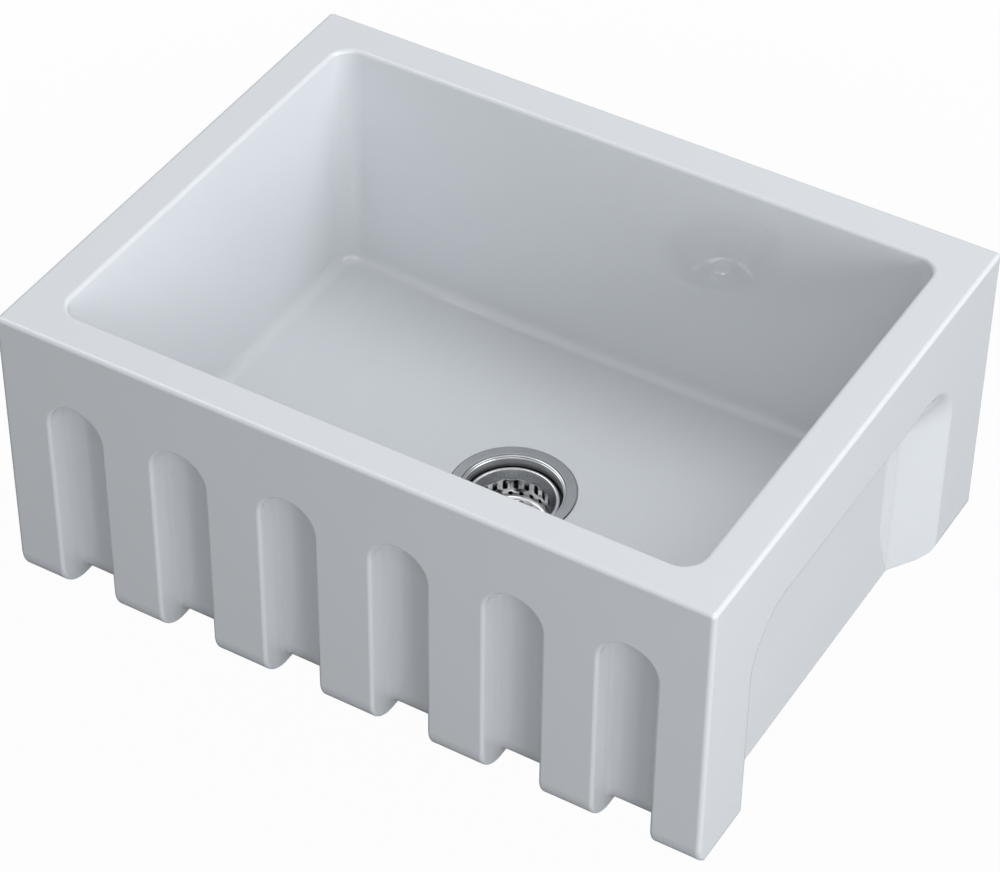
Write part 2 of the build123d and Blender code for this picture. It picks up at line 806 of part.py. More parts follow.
os.makedirs("parts", exist_ok=True)
for piece in pieces:
    export_step(piece(), os.path.join("parts", piece.__name__ + ".step"))
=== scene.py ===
# %% [markdown]
# # A fluted farmhouse sink
# The sink's measured shapes come from a CAD model, which this file loads as a fixed frame: the fireclay
# basin, and the strainer that is clamped through its floor. CAD leaves out what the eye looks for, so the
# cells below add it: glaze over clay, satin and polished steel, cast brass, rubber, and the rolled and
# pressed shapes of thin metal. Everything is in metres, in the CAD model's own frame, so no piece needs
# fitting.

# %% Load the frame
import json
import math

import bmesh
import bpy
import numpy as np
from mathutils import Matrix, Vector

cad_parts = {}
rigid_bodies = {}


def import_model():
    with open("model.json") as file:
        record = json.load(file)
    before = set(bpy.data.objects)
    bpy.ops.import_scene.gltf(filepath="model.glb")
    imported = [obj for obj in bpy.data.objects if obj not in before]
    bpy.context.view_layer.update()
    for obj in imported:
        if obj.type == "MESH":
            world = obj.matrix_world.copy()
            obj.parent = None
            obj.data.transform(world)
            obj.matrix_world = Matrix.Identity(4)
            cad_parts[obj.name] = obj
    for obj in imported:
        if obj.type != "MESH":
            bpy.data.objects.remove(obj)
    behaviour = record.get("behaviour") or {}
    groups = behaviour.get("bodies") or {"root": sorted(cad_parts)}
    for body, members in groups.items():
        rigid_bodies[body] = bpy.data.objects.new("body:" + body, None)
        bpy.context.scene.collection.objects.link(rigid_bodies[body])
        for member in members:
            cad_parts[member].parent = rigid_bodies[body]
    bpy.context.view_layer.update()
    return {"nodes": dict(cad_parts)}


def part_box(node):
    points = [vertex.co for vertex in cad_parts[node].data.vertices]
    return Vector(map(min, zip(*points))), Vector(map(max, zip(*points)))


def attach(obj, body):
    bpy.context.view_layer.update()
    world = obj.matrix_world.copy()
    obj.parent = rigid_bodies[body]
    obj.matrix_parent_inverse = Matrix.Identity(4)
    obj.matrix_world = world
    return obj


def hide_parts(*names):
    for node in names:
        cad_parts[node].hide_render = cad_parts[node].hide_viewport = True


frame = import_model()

mm = 0.001
nodes = frame["nodes"]

# %% [markdown]
# ## The camera
# A box with straight edges fixes the camera that photographed it: the directions of the rim's and the base's
# edges give where it stood, and how fast they draw together gives the focal length. This camera stood well
# back, above the front right corner, with a long lens, so the edges stay nearly parallel.

# %% Place the camera
camera_place = Vector((1.0356, -1.7758, 1.9513))
camera_azimuth = math.radians(30.311)
camera_elevation = math.radians(41.863)
camera_roll = math.radians(0.692)
focal_length_px = 3580.3
photo_width_px = 1000.0
sensor_width_mm = 36.0


def camera_turn(azimuth, elevation, roll):
    """The camera's axes: back points from the subject to it, and right and up turn by roll about back."""
    level = math.cos(elevation)
    back = Vector((math.sin(azimuth) * level, -math.cos(azimuth) * level, math.sin(elevation)))
    right = (-back).cross(Vector((0, 0, 1))).normalized()
    up = back.cross(right)
    tilted_right = right * math.cos(roll) + up * math.sin(roll)
    tilted_up = up * math.cos(roll) - right * math.sin(roll)
    return Matrix((tilted_right, tilted_up, back)).transposed()


camera_data = bpy.data.cameras.new("photo_camera")
camera_data.sensor_width = sensor_width_mm
camera_data.lens = focal_length_px / photo_width_px * sensor_width_mm
camera_data.clip_end = 50.0
camera = bpy.data.objects.new("photo_camera", camera_data)
bpy.context.scene.collection.objects.link(camera)
turn = camera_turn(camera_azimuth, camera_elevation, camera_roll)
camera.matrix_world = Matrix.Translation(camera_place) @ turn.to_4x4()
bpy.context.scene.camera = camera
print("Camera:", [round(x, 3) for x in camera_place], "lens", round(camera_data.lens, 1), "mm")

# %% [markdown]
# ## The drain's axis
# Every piece but the basin is round, or spaced evenly round one upright axis. The middle of the strainer's
# box gives that axis, so shapes and finishes below can speak of a radius from the drain and of a height.

# %% Find the drain
strainer_low, strainer_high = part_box("strainer_body")
drain_x = (strainer_low[0] + strainer_high[0]) / 2
drain_y = (strainer_low[1] + strainer_high[1]) / 2
print("Drain at", round(drain_x / mm, 2), round(drain_y / mm, 2), "mm")

# %% [markdown]
# ## Writing finishes as sums
# A finish is a small graph of nodes. Written as arithmetic, such as `0.1 + 0.05 * noise`, a graph reads like
# the sentence it stands for. The class below wraps one socket of a finish, and each operator adds the Math
# node that it names. Any other node comes from one method, which takes the node's settings and its sockets.

# %% A socket with arithmetic
class Wire:
    """One socket of a finish. Arithmetic on wires adds Math nodes."""

    def __init__(self, tree, socket):
        self.tree = tree
        self.socket = socket

    def node(self, kind, settings=None, inputs=None, output=0):
        """Adds a node of a kind: its settings first, then the values or links of its sockets."""
        made = self.tree.nodes.new(kind)
        for setting, value in (settings or {}).items():
            setattr(made, setting, value)
        for name, value in (inputs or {}).items():
            if isinstance(value, Wire):
                self.tree.links.new(value.socket, made.inputs[name])
            else:
                made.inputs[name].default_value = value
        return Wire(self.tree, made.outputs[output]) if made.outputs else None

    def math(self, operation, *values):
        """A Math node of this operation on wires and numbers."""
        return self.node("ShaderNodeMath", {"operation": operation}, dict(enumerate(values)))

    def __add__(self, other):
        return self.math("ADD", self, other)

    def __sub__(self, other):
        return self.math("SUBTRACT", self, other)

    def __rsub__(self, other):
        return self.math("SUBTRACT", other, self)

    def __mul__(self, other):
        return self.math("MULTIPLY", self, other)

    def __truediv__(self, other):
        return self.math("DIVIDE", self, other)

    def __pow__(self, other):
        return self.math("POWER", self, other)

    __radd__ = __add__
    __rmul__ = __mul__


# %% What every finish starts from and ends with
class Finish:
    """A material, with the object's coordinates, its axes and its distance from the drain's axis ready."""

    def __init__(self, name):
        self.material = bpy.data.materials.new(name)
        self.material.use_nodes = True
        tree = self.material.node_tree
        tree.nodes.clear()
        self.root = Wire(tree, None)
        self.place = self.root.node("ShaderNodeTexCoord", output="Object")
        shift = {0: self.place, 1: (-drain_x, -drain_y, 0.0)}
        self.local = self.root.node("ShaderNodeVectorMath", {"operation": "ADD"}, shift)
        self.x = self.axis("X")
        self.y = self.axis("Y")
        self.z = self.axis("Z")
        self.radius = (self.x * self.x + self.y * self.y) ** 0.5

    def axis(self, name):
        """One coordinate, measured from the drain's axis at the height of the sink's base."""
        return self.root.node("ShaderNodeSeparateXYZ", None, {0: self.local}, name)

    def stretched(self, x, y, z):
        """The place, with each axis scaled, so that a noise on it is drawn out or squeezed."""
        scale = {0: self.local, 1: (x, y, z)}
        return self.root.node("ShaderNodeVectorMath", {"operation": "MULTIPLY"}, scale)

    def rings(self, across, along):
        """Coordinates for marks round the drain: fast with radius and height, slow round the turn."""
        fast = (self.radius + self.z) * across
        sockets = {"X": fast, "Y": self.x / self.radius * along, "Z": self.y / self.radius * along}
        return self.root.node("ShaderNodeCombineXYZ", None, sockets)

    def noise(self, scale, detail=2.0, roughness=0.5, place=None):
        """Cloudy noise from 0 to 1, with its middle near one half."""
        sockets = {"Vector": place or self.place, "Scale": scale, "Detail": detail, "Roughness": roughness}
        return self.root.node("ShaderNodeTexNoise", None, sockets)

    def step(self, value, low, high):
        """A smooth step: 0 below low, 1 above high. Where low is above high it falls instead."""
        sockets = {"Value": value, "From Min": low, "From Max": high}
        return self.root.node("ShaderNodeMapRange", {"interpolation_type": "SMOOTHSTEP"}, sockets)

    def blend(self, mask, first, second):
        """The first colour where mask is 0, and the second where it is 1."""
        sockets = {0: mask, 6: first, 7: second}
        return self.root.node("ShaderNodeMix", {"data_type": "RGBA"}, sockets, 2)

    def bump(self, height, distance, under=None):
        """A normal tilted by a height from 0 to 1 for a distance in metres, on top of another."""
        sockets = {"Height": height, "Distance": distance}
        if under:
            sockets["Normal"] = under
        return self.root.node("ShaderNodeBump", None, sockets)

    def done(self, **sockets):
        """The finished material. A socket's name is written with _ for its spaces."""
        named = {name.replace("_", " "): value for name, value in sockets.items()}
        shader = self.root.node("ShaderNodeBsdfPrincipled", None, named)
        self.root.node("ShaderNodeOutputMaterial", None, {"Surface": shader})
        return self.material


def colour(red, green, blue):
    """A plain colour, in linear light."""
    return (red, green, blue, 1.0)


# %% [markdown]
# ## White glaze over fireclay
# A fireclay sink is one thick fired piece under an opaque white glaze. The glaze is glossy but never flat: it
# flows a little in the kiln, which leaves slow waves a hand's width apart, and it dries with a fine skin like
# an orange's. Its white drifts slightly where it lies thicker. The piece stands on its base in the kiln, so
# the base and the ring round the waste hole are wiped bare and show buff clay with dark grains. An image
# could carry all that, but noise on the object's coordinates has the right scale everywhere and no seams.

# %% The basin's finish
glaze_end_height = (0.6 * mm, 0.3 * mm)
wiped_ring_radius = (76.5 * mm, 75.7 * mm)
wiped_ring_height = (13.0 * mm, 12.4 * mm)


def white_glaze():
    """Glaze with slow waves and a fine skin, and bare clay where height or radius say it was wiped off."""
    finish = Finish("white_glaze")
    wobble = (finish.noise(60.0) - 0.5) * (0.5 * mm)
    under_base = finish.step(finish.z + wobble, *glaze_end_height)
    in_recess = finish.step(finish.radius + wobble, *wiped_ring_radius)
    in_recess = in_recess * finish.step(finish.z, *wiped_ring_height)
    bare = under_base.math("MAXIMUM", under_base, in_recess)
    glaze = finish.blend(finish.noise(5.0), colour(0.735, 0.750, 0.769), colour(0.749, 0.763, 0.781))
    grains = finish.step(finish.noise(900.0, 1.0), 0.66, 0.72)
    clay = finish.blend(finish.noise(35.0, 4.0), colour(0.50, 0.41, 0.30), colour(0.60, 0.51, 0.39))
    clay = finish.blend(grains, clay, colour(0.25, 0.18, 0.12))
    waves = finish.bump(finish.noise(9.0), 0.4 * mm)
    skin = finish.bump(finish.noise(180.0, 1.0), 0.006 * mm, waves)
    rough_clay = finish.bump(finish.noise(1400.0, 3.0) * bare, 0.12 * mm, skin)
    gloss = 0.012 + 0.03 * finish.noise(14.0)
    return finish.done(
        Base_Color=finish.blend(bare, glaze, clay),
        Roughness=gloss + bare * 0.65,
        Normal=rough_clay,
        Specular_IOR_Level=0.65,
    )


glaze_finish = white_glaze()
print("Finish:", glaze_finish.name)

# %% [markdown]
# ## Stainless steel
# The strainer is pressed from sheet. Its flange is brushed in circles on a lathe, which gives a satin grey,
# and its lip and cup are polished. The wall below the lip has gone dull, and the corner where the basket sits
# is painted near black, a painted shade for the gap under the basket's rim. So one finish covers them all,
# with masks from the radius and the height. Brush marks are noise that is fast across the radius and slow
# along the turn, and they go into roughness and bump.

# %% The strainer's steel
lip_radius = (42.1 * mm, 42.7 * mm)
flange_height = (38.2 * mm, 39.2 * mm)
seat_radius = (37.4 * mm, 37.8 * mm)
seat_height = (24.2 * mm, 24.6 * mm)
lip_height = (37.2 * mm, 36.2 * mm)
painted_gap_shade_height = (29.6 * mm, 29.0 * mm)


def strainer_steel():
    """Polished steel, and brushed rings where the radius is past the lip and the height is the flange's.

    The wall between the lip and the seat is duller, and the seat's corner is painted near black: painted
    shade in the gap under the basket's rim."""
    finish = Finish("strainer_steel")
    satin = finish.step(finish.radius, *lip_radius) * finish.step(finish.z, *flange_height)
    above_seat = finish.step(finish.radius, *seat_radius) * finish.step(finish.z, *seat_height)
    dull = above_seat * finish.step(finish.z, *lip_height)
    # Painted shade: the seat's corner under the basket's rim is masked to be made near black and less
    # metallic.
    painted_gap_shade = above_seat * finish.step(finish.z + finish.noise(90.0) * (0.6 * mm), *painted_gap_shade_height)
    brush = finish.noise(1.0, 3.0, 0.6, finish.rings(5200.0, 6.0))
    marks = finish.noise(70.0, 4.0, 0.6)
    steel = finish.blend(satin, colour(0.66, 0.67, 0.68), colour(0.33, 0.345, 0.36))
    steel = finish.blend(dull, steel, colour(0.50, 0.51, 0.52))
    steel = finish.blend(marks * 0.25, steel, colour(0.47, 0.48, 0.49))
    # Painted shade: near black in the gap under the basket's rim.
    steel = finish.blend(painted_gap_shade, steel, colour(0.015, 0.016, 0.018))
    return finish.done(
        Base_Color=steel,
        Metallic=1.0 - painted_gap_shade * 0.9,
        Roughness=0.13 + satin * 0.2 + dull * 0.37 + marks * 0.06 + brush * satin * 0.08,
        Normal=finish.bump(brush * (0.15 + satin * 0.85), 0.006 * mm),
    )


strainer_finish = strainer_steel()
print("Finish:", strainer_finish.name)

# %% [markdown]
# The basket is polished too, but its flare, down which the food slides, is dull and streaked, and its colour
# there is darkened as a painted reflection. The small pressed and turned parts are only polished, with clouds
# of wear and fine scratches.

# %% The basket's steel and the small parts'
flare_radius = (35.6 * mm, 34.9 * mm)
flare_height = (23.6 * mm, 25.2 * mm)


def polished_steel(name):
    """Bright steel with faint clouds of wear and hair-fine scratches."""
    finish = Finish(name)
    wear = finish.noise(110.0, 4.0, 0.6)
    hair = finish.noise(1.0, 2.0, 0.5, finish.stretched(2600.0, 300.0, 900.0))
    steel = finish.blend(wear * 0.3, colour(0.70, 0.705, 0.71), colour(0.56, 0.565, 0.57))
    return finish.done(
        Base_Color=steel,
        Metallic=1.0,
        Roughness=0.09 + wear * 0.1 + hair * 0.05,
        Normal=finish.bump(hair, 0.002 * mm),
    )


def basket_steel():
    """Bright pressed steel. Its flare, between the rim and the slots, is dull and streaked, and darkened as a
    painted reflection.
    """
    finish = Finish("basket_steel")
    flare_dull_with_painted_reflection = finish.step(finish.radius, *flare_radius) * finish.step(finish.z, *flare_height)
    wear = finish.noise(150.0, 4.0, 0.65)
    streaks = finish.noise(1.0, 3.0, 0.6, finish.rings(240.0, 34.0))
    steel = finish.blend(wear * 0.35, colour(0.72, 0.725, 0.73), colour(0.50, 0.505, 0.51))
    streaked = finish.step(streaks, 0.35, 0.65)
    # Painted reflection: the flare's steel is made dark for the dark band that lies along it; its streaks and
    # roughness are its real finish.
    dull = finish.blend(streaked, colour(0.27, 0.275, 0.28), colour(0.37, 0.375, 0.38))
    return finish.done(
        Base_Color=finish.blend(flare_dull_with_painted_reflection, steel, dull),
        Metallic=1.0,
        Roughness=0.09 + wear * 0.1 + flare_dull_with_painted_reflection * 0.14 + streaks * flare_dull_with_painted_reflection * 0.08,
        Normal=finish.bump(wear * 0.5 + streaks * 0.5, 0.02 * mm),
    )


basket_finish = basket_steel()
small_steel_finish = polished_steel("small_part_steel")
print("Finishes:", basket_finish.name, small_steel_finish.name)

# %% [markdown]
# ## The metals below the floor
# The outlet is cast in brass and then turned, so it keeps a grainy skin with warm and dark patches. The large
# lock nut is a dull plated zinc casting. The tailpiece and its nut are plated with bright chrome, which shows
# smudges and drying marks rather than grain.

# %% The cast and plated finishes
def cast_brass():
    """Brass whose colour goes from bright to brown with noise, over a fine cast grain."""
    finish = Finish("cast_brass")
    patina = finish.step(finish.noise(60.0, 5.0, 0.65), 0.35, 0.75)
    grain = finish.noise(1900.0, 3.0)
    return finish.done(
        Base_Color=finish.blend(patina, colour(0.66, 0.46, 0.20), colour(0.36, 0.23, 0.10)),
        Metallic=1.0,
        Roughness=0.30 + patina * 0.16 + grain * 0.1,
        Normal=finish.bump(grain, 0.03 * mm),
    )


def dull_zinc():
    """Plated zinc: a grey with slow clouds, a cast grain, and a bloom of paler oxide."""
    finish = Finish("dull_zinc")
    bloom = finish.step(finish.noise(45.0, 5.0, 0.6), 0.5, 0.8)
    grain = finish.noise(1500.0, 3.0)
    return finish.done(
        Base_Color=finish.blend(bloom, colour(0.40, 0.405, 0.40), colour(0.52, 0.52, 0.51)),
        Metallic=1.0,
        Roughness=0.38 + bloom * 0.14 + grain * 0.08,
        Normal=finish.bump(grain, 0.03 * mm),
    )


def bright_chrome(name):
    """Chrome: nearly a mirror, with smudges that dull it and rings left by drying drops."""
    finish = Finish(name)
    smudge = finish.step(finish.noise(38.0, 4.0, 0.6), 0.45, 0.8)
    drops = finish.root.node("ShaderNodeTexVoronoi", None, {"Vector": finish.place, "Scale": 95.0})
    drop_edge = finish.step(drops, 0.26, 0.30) * finish.step(drops, 0.36, 0.31)
    return finish.done(
        Base_Color=finish.blend(smudge * 0.3, colour(0.76, 0.77, 0.785), colour(0.62, 0.63, 0.64)),
        Metallic=1.0,
        Roughness=0.04 + smudge * 0.07 + drop_edge * 0.06,
        Normal=finish.bump(smudge, 0.004 * mm),
    )


brass_finish = cast_brass()
zinc_finish = dull_zinc()
tube_finish = bright_chrome("chrome_tube_finish")
nut_finish = bright_chrome("chrome_nut_finish")
knob_finish = bright_chrome("chrome_knob_finish")
print("Finishes:", brass_finish.name, zinc_finish.name, tube_finish.name)

# %% [markdown]
# ## Rubber, foam, fibre and nylon
# What seals the waste is soft. The gasket and the stopper are black rubber with a dusty bloom, the seal under
# the flange is foamed, so it has open cells, the friction ring is pressed paper fibre, and the washer and
# bush are off-white nylon.

# %% The soft finishes
def black_rubber():
    """Rubber: nearly black, paler where the bloom lies, over a fine moulded grain."""
    finish = Finish("black_rubber")
    bloom = finish.step(finish.noise(50.0, 4.0, 0.6), 0.45, 0.85)
    grain = finish.noise(1300.0, 2.0)
    return finish.done(
        Base_Color=finish.blend(bloom, colour(0.018, 0.018, 0.019), colour(0.045, 0.045, 0.045)),
        Roughness=0.5 + bloom * 0.2 + grain * 0.08,
        Normal=finish.bump(grain, 0.03 * mm),
    )


def grey_foam():
    """Foamed rubber: cells from a Voronoi pattern, painted darker at their hollow middles as shade, and
    raised between.
    """
    finish = Finish("grey_foam")
    cells_with_painted_pit_shade = finish.root.node("ShaderNodeTexVoronoi", None, {"Vector": finish.place, "Scale": 1500.0})
    # Painted shade: the cells' hollow middles are made darker than the ridges between them.
    return finish.done(
        Base_Color=finish.blend(cells_with_painted_pit_shade, colour(0.05, 0.05, 0.052), colour(0.13, 0.13, 0.135)),
        Roughness=0.85 + cells_with_painted_pit_shade * 0.1,
        Normal=finish.bump(cells_with_painted_pit_shade, 0.12 * mm),
    )


def pressed_fibre():
    """Fibre board: matted strands from noise drawn out both ways, with a brown that follows them."""
    finish = Finish("pressed_fibre")
    strands = finish.noise(1.0, 4.0, 0.6, finish.stretched(260.0, 1900.0, 900.0))
    crossing = finish.noise(1.0, 4.0, 0.6, finish.stretched(1900.0, 260.0, 900.0))
    mat = (strands + crossing) * 0.5
    return finish.done(
        Base_Color=finish.blend(mat, colour(0.16, 0.085, 0.05), colour(0.42, 0.27, 0.17)),
        Roughness=0.75 + mat * 0.15,
        Normal=finish.bump(mat, 0.08 * mm),
    )


def white_nylon():
    """Moulded nylon: off-white with slow clouds, satin, over a fine spark-worked grain."""
    finish = Finish("white_nylon")
    clouds = finish.noise(45.0, 3.0)
    grain = finish.noise(1700.0, 2.0)
    return finish.done(
        Base_Color=finish.blend(clouds, colour(0.66, 0.655, 0.61), colour(0.74, 0.735, 0.70)),
        Roughness=0.34 + clouds * 0.08 + grain * 0.06,
        Normal=finish.bump(grain, 0.02 * mm),
    )


rubber_finish = black_rubber()
foam_finish = grey_foam()
fibre_finish = pressed_fibre()
nylon_finish = white_nylon()
print("Finishes:", rubber_finish.name, foam_finish.name, fibre_finish.name, nylon_finish.name)

# %% [markdown]
# ## From arrays to pieces
# A piece starts as an array of points and an array of faces. Where a grid closes on itself, or ends on the
# axis, it has points that lie on each other: they are merged first, and then the faces are all turned
# outward. A part of real metal has soft edges and flat faces, so the shading is smooth, breaks only at sharp
# angles, and leans on the larger faces, which keeps flats flat.

# %% Make a piece
def make_piece(name, points, faces, sharp_angle=32.0):
    """A mesh object from points (n, 3) in metres and faces (m, 4)."""
    mesh = bpy.data.meshes.new(name)
    mesh.from_pydata(points.reshape(-1, 3).tolist(), [], faces.tolist())
    merged = bmesh.new()
    merged.from_mesh(mesh)
    bmesh.ops.remove_doubles(merged, verts=merged.verts, dist=0.0005 * mm)
    bmesh.ops.recalc_face_normals(merged, faces=merged.faces)
    merged.to_mesh(mesh)
    merged.free()
    mesh.shade_smooth()
    mesh.set_sharp_from_angle(angle=math.radians(sharp_angle))
    piece = bpy.data.objects.new(name, mesh)
    bpy.context.scene.collection.objects.link(piece)
    return piece


def flatten_shading(piece):
    """Normals lean on the larger faces, and stop at sharp edges."""
    weighted = piece.modifiers.new("flat_faces", "WEIGHTED_NORMAL")
    weighted.keep_sharp = True


# %% [markdown]
# A finished piece hides the CAD node that it stands for, moves with that node's body, and takes its finish.
# The last line prints how far it reaches past the node's own box, which should be next to nothing.

# %% Dress a piece
def dress(piece, node, finish):
    """The piece stands for a CAD node, rides on its body, and takes its finish."""
    body = nodes[node].parent.name.removeprefix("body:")
    piece.data.materials.append(finish)
    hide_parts(node)
    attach(piece, body)
    low, high = (np.array(corner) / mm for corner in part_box(node))
    made = np.empty(len(piece.data.vertices) * 3)
    piece.data.vertices.foreach_get("co", made)
    made = made.reshape(-1, 3) / mm
    over = max(np.max(low - made.min(axis=0)), np.max(made.max(axis=0) - high))
    print(piece.name, "on", body, "-", len(made), "points, past its CAD box by", round(over, 2), "mm")


# %% [markdown]
# ## Round outlines
# A turned or pressed part is one outline carried round the axis. Drawing the outline as corners, each with
# its own radius, is how the part's drawing gives it. The function below replaces each corner by an arc, for
# all corners at once.

# %% An outline with rounded corners
def outline(*corners, arc_steps=7):
    """Points of a closed outline of (radius, height, rounding) corners, in millimetres.

    At a corner between unit directions a and b with the angle phi between them, an arc of radius f touches
    both sides at f / tan(phi / 2) from the corner, and its centre lies at f / sin(phi / 2) along their
    bisector. The arc's points turn evenly from one touching point to the other (the spherical blend of the
    two spokes)."""
    corner = np.array(corners, float)
    point, rounding = corner[:, :2], corner[:, 2:]
    a = np.roll(point, 1, axis=0) - point
    b = np.roll(point, -1, axis=0) - point
    a /= np.linalg.norm(a, axis=1, keepdims=True)
    b /= np.linalg.norm(b, axis=1, keepdims=True)
    phi = np.arccos(np.clip((a * b).sum(axis=1, keepdims=True), -0.99999, 0.99999))
    bisector = (a + b) / np.linalg.norm(a + b, axis=1, keepdims=True)
    centre = point + bisector * rounding / np.sin(phi / 2)
    reach = rounding / np.tan(phi / 2)
    first = point + a * reach - centre
    last = point + b * reach - centre
    sweep = (math.pi - phi)[:, None]
    share = np.linspace(0.0, 1.0, arc_steps)[None, :, None]
    spokes = np.sin((1 - share) * sweep) * first[:, None] + np.sin(share * sweep) * last[:, None]
    points = (centre[:, None] + spokes / np.sin(sweep)).reshape(-1, 2)
    moved = np.linalg.norm(points - np.roll(points, 1, axis=0), axis=1) > 0.001
    return points[moved]


# %% More points where a rule will bend the outline
def refined(points, low, high, spacing):
    """The outline with more points on the stretches whose heights lie between low and high."""
    ring = np.vstack([points, points[:1]])
    length = np.concatenate([[0.0], np.cumsum(np.linalg.norm(np.diff(ring, axis=0), axis=1))])
    even = np.arange(0.0, length[-1], spacing)
    height = np.interp(even, length, ring[:, 1])
    extra = even[(height > low) & (height < high)]
    where = np.unique(np.concatenate([length[:-1], extra]))
    return np.column_stack([np.interp(where, length, ring[:, 0]), np.interp(where, length, ring[:, 1])])


# %% [markdown]
# An outline becomes a surface when each of its points is carried round the drain: x is the radius times the
# cosine of the angle, y the radius times its sine. A part that isn't quite round, such as a hexagon or a
# screw thread, gets its own rule for the radius, which may use the height and the angle.

# %% Carry an outline round the drain
def even_angles(steps):
    """Angles round the drain, evenly spaced."""
    return np.arange(steps) * 2 * math.pi / steps


def grid_faces(rows, columns, rows_close):
    """Quads between neighbours of a grid. Its columns close round, and its rows do if rows_close."""
    row = np.arange(rows if rows_close else rows - 1)[:, None]
    column = np.arange(columns)[None, :]
    next_row = (row + 1) % rows
    next_column = (column + 1) % columns
    corners = (
        row * columns + column,
        row * columns + next_column,
        next_row * columns + next_column,
        next_row * columns + column,
    )
    return np.stack(corners, axis=2).reshape(-1, 4)


def round_the_drain(radius, height, angle):
    """Points in metres from radius and height in millimetres and an angle, as arrays of one shape."""
    x = drain_x + radius * mm * np.cos(angle)
    y = drain_y + radius * mm * np.sin(angle)
    return np.stack([x, y, height * mm], axis=-1)


def turned(name, points, angles, radius_rule=None):
    """A closed outline carried round the drain. radius_rule(radius, height, angle) may change its radius."""
    radius, angle = np.meshgrid(points[:, 0], angles, indexing="ij")
    height = np.repeat(points[:, 1:], len(angles), axis=1)
    if radius_rule:
        radius = radius_rule(radius, height, angle)
    faces = grid_faces(len(points), len(angles), True)
    piece = make_piece(name, round_the_drain(radius, height, angle), faces)
    flatten_shading(piece)
    return piece


def smooth_step(value, low, high):
    """0 below low and 1 above high, with 3 t^2 - 2 t^3 between."""
    t = np.clip((value - low) / (high - low), 0.0, 1.0)
    return t * t * (3 - 2 * t)


# %% [markdown]
# ## The strainer's shell
# Flange and cup are one pressing, 1.2 mm thick. From the flange a stepped lip goes down to the basket's seat,
# and then the cup. Its lower wall carries a rolled thread for the lock nut. A real thread climbs: its ridge
# at one angle is higher than at the angle before, by the pitch for a full turn, so it is a rule for the
# radius rather than a stack of rings.

# %% Press the shell and roll its thread
thread_root = 38.4
thread_pitch = 2.12
thread_depth = 0.95
thread_low = -7.5
thread_high = 22.2


def thread_ridge(height, angle, pitch):
    """0 in the root and 1 on the crest of a right-handed thread: a cosine of (height / pitch - turns)."""
    wave = 0.5 + 0.5 * np.cos(2 * math.pi * height / pitch - angle)
    return smooth_step(wave, 0.15, 0.85)


def threaded_cup(radius, height, angle):
    """The cup's outside wall, with a ridge that fades out over one pitch at each end of the thread."""
    on_wall = (np.abs(radius - thread_root) < 0.05) & (height > thread_low) & (height < thread_high)
    fade = smooth_step(height, thread_low, thread_low + thread_pitch)
    fade = fade * smooth_step(height, thread_high, thread_high - thread_pitch)
    return radius + on_wall * fade * thread_depth * thread_ridge(height, angle, thread_pitch)


shell_outline = outline(
    (50.95, 40.2, 0.5), (42.7, 40.2, 0.5), (42.0, 38.7, 0.3), (41.3, 38.5, 0.3), (41.2, 37.3, 0.3),
    (40.5, 37.0, 0.3), (40.4, 24.8, 0.7), (36.9, 24.8, 0.7), (36.9, -12.5, 6.5), (20.5, -12.5, 0.25),
    (20.5, -13.7, 0.25), (thread_root, -13.7, 7.0), (thread_root, 23.6, 0.2), (41.6, 23.6, 1.2),
    (41.6, 36.4, 0.6), (43.4, 38.8, 0.6), (50.95, 38.8, 0.4),
)
shell_outline = refined(shell_outline, thread_low, thread_high, thread_pitch / 8)

# The cup's inside wall is plain, so every twelfth of its points is enough.
inside = (shell_outline[:, 0] < 37.5) & (shell_outline[:, 1] > -5.0) & (shell_outline[:, 1] < 24.0)
keep = ~inside | (np.arange(len(inside)) % 12 == 0)
shell = turned("strainer_shell", shell_outline[keep], even_angles(192), threaded_cup)
dress(shell, "strainer_body", strainer_finish)

# %% [markdown]
# ## The basket
# The basket is what the eye finds in the bowl: a bright pressed cup with a rolled rim, a row of slots in its
# wall, a row of round holes where the wall turns into the floor, and two rings of holes in the floor. Cutting
# holes with a Boolean leaves ragged faces. Here the wall is tiled instead: each tile has one hole, and a few
# rings of quads lead from the hole's edge to the tile's border. All tiles of a row are made as one array.

# %% The basket's sheet as a path
basket_path = outline(
    (37.35, 25.2, 0.0), (37.35, 30.3, 0.95), (35.1, 30.3, 1.0), (30.9, 24.2, 2.5), (30.9, 4.2, 4.4),
    (5.5, 4.2, 0.0), (5.5, 60.0, 0.0), (37.35, 60.0, 0.0), arc_steps=12,
)
basket_path = basket_path[basket_path[:, 1] < 50.0]
start = np.argmax(basket_path[:, 0] * (basket_path[:, 1] < 25.3))
basket_path = np.roll(basket_path, -start, axis=0)
path_length = np.concatenate([[0.0], np.cumsum(np.linalg.norm(np.diff(basket_path, axis=0), axis=1))])
basket_columns = 352


def sheet_radius(length):
    """Radius of the sheet's middle at a length along the path from the rim's edge."""
    return np.interp(length, path_length, basket_path[:, 0])


def sheet_height(length):
    """Height of the sheet's middle at that length."""
    return np.interp(length, path_length, basket_path[:, 1])


def length_at_height(height):
    """Length along the path where the wall passes a height."""
    wall = (basket_path[:, 0] < 35.0) & (basket_path[:, 0] > 26.4)
    return np.interp(-height, -basket_path[wall, 1], path_length[wall])


def length_at_radius(radius):
    """Length along the path where the floor passes a radius."""
    return path_length[-1] - (radius - basket_path[-1, 0])


print("Basket sheet:", round(path_length[-1], 1), "mm from rim to bush")

